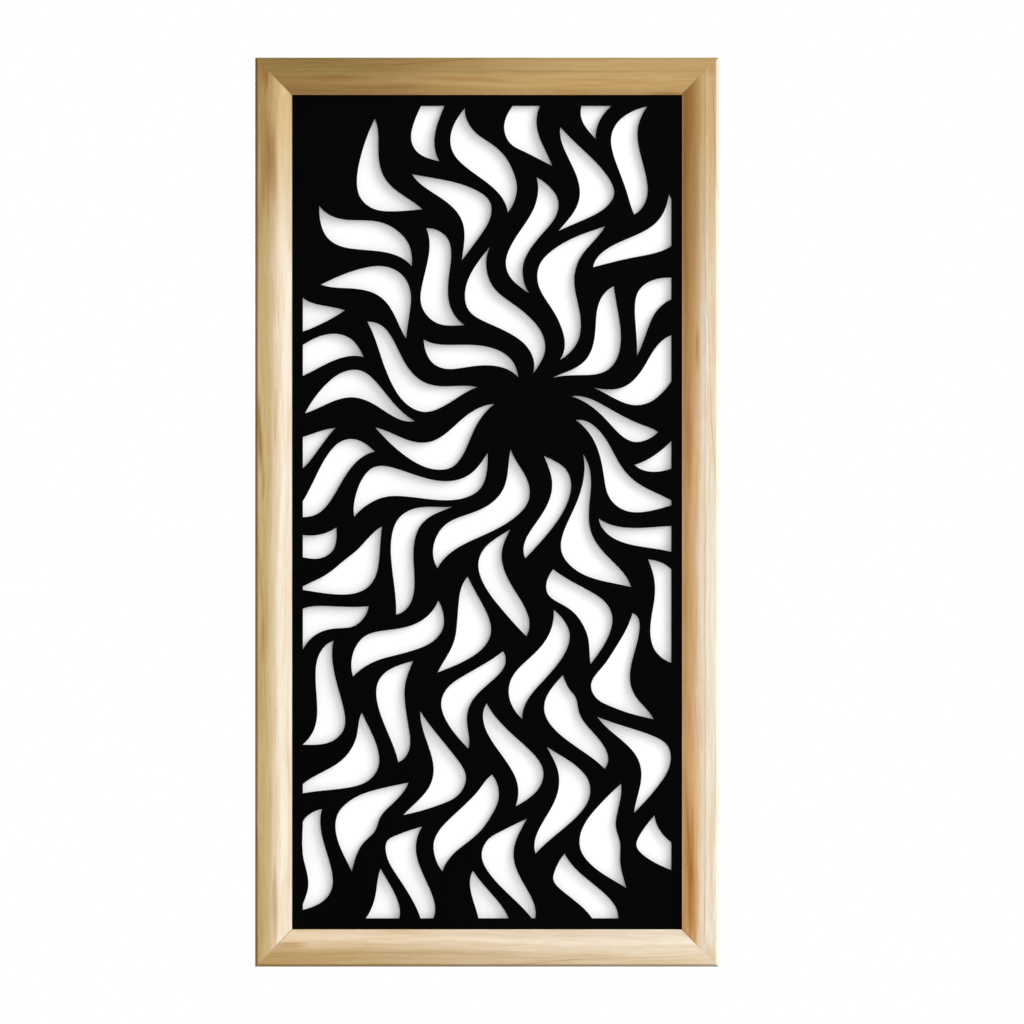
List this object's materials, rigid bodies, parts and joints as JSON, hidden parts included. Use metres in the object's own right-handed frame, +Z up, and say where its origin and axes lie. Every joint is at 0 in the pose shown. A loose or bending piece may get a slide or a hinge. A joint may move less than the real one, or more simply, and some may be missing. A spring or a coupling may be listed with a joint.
{
  "type": "decorative divider panel",
  "caption": "Tall pine-framed black fretwork panel, cut through with wavy rays, that hangs or is fixed upright as a screen or partition.",
  "frame": {"origin": "middle of the frame's bottom edge, at half depth", "axes": "+Z up along the height, +X along the width, +Y towards the back"},
  "size_m": [0.612, 0.032, 1.2],
  "materials": {
    "pine_moulding": "planed pine, clear matt varnish",
    "pine_bead": "planed pine, unfinished",
    "black_lacquered_board": "fibreboard sheet, satin black lacquer",
    "beech_biscuit": "compressed beech, raw",
    "pin_steel": "bright drawn wire",
    "zinc_plated_steel": "stamped steel, zinc plated"
  },
  "bodies": {
    "root": {"frame_top_rail": "pine_moulding", "frame_bottom_rail": "pine_moulding", "frame_left_stile": "pine_moulding", "frame_right_stile": "pine_moulding", "fretwork_panel": "black_lacquered_board", "mitre_biscuit_top_left": "beech_biscuit", "mitre_biscuit_top_right": "beech_biscuit", "mitre_biscuit_bottom_left": "beech_biscuit", "mitre_biscuit_bottom_right": "beech_biscuit", "retaining_bead_top": "pine_bead", "retaining_bead_bottom": "pine_bead", "retaining_bead_left": "pine_bead", "retaining_bead_right": "pine_bead", "bead_pins_top": "pin_steel", "bead_pins_bottom": "pin_steel", "bead_pins_left": "pin_steel", "bead_pins_right": "pin_steel", "hanger_plate_left": "zinc_plated_steel", "hanger_plate_right": "zinc_plated_steel", "hanger_screws_left": "zinc_plated_steel", "hanger_screws_right": "zinc_plated_steel"}
  },
  "joints": []
}
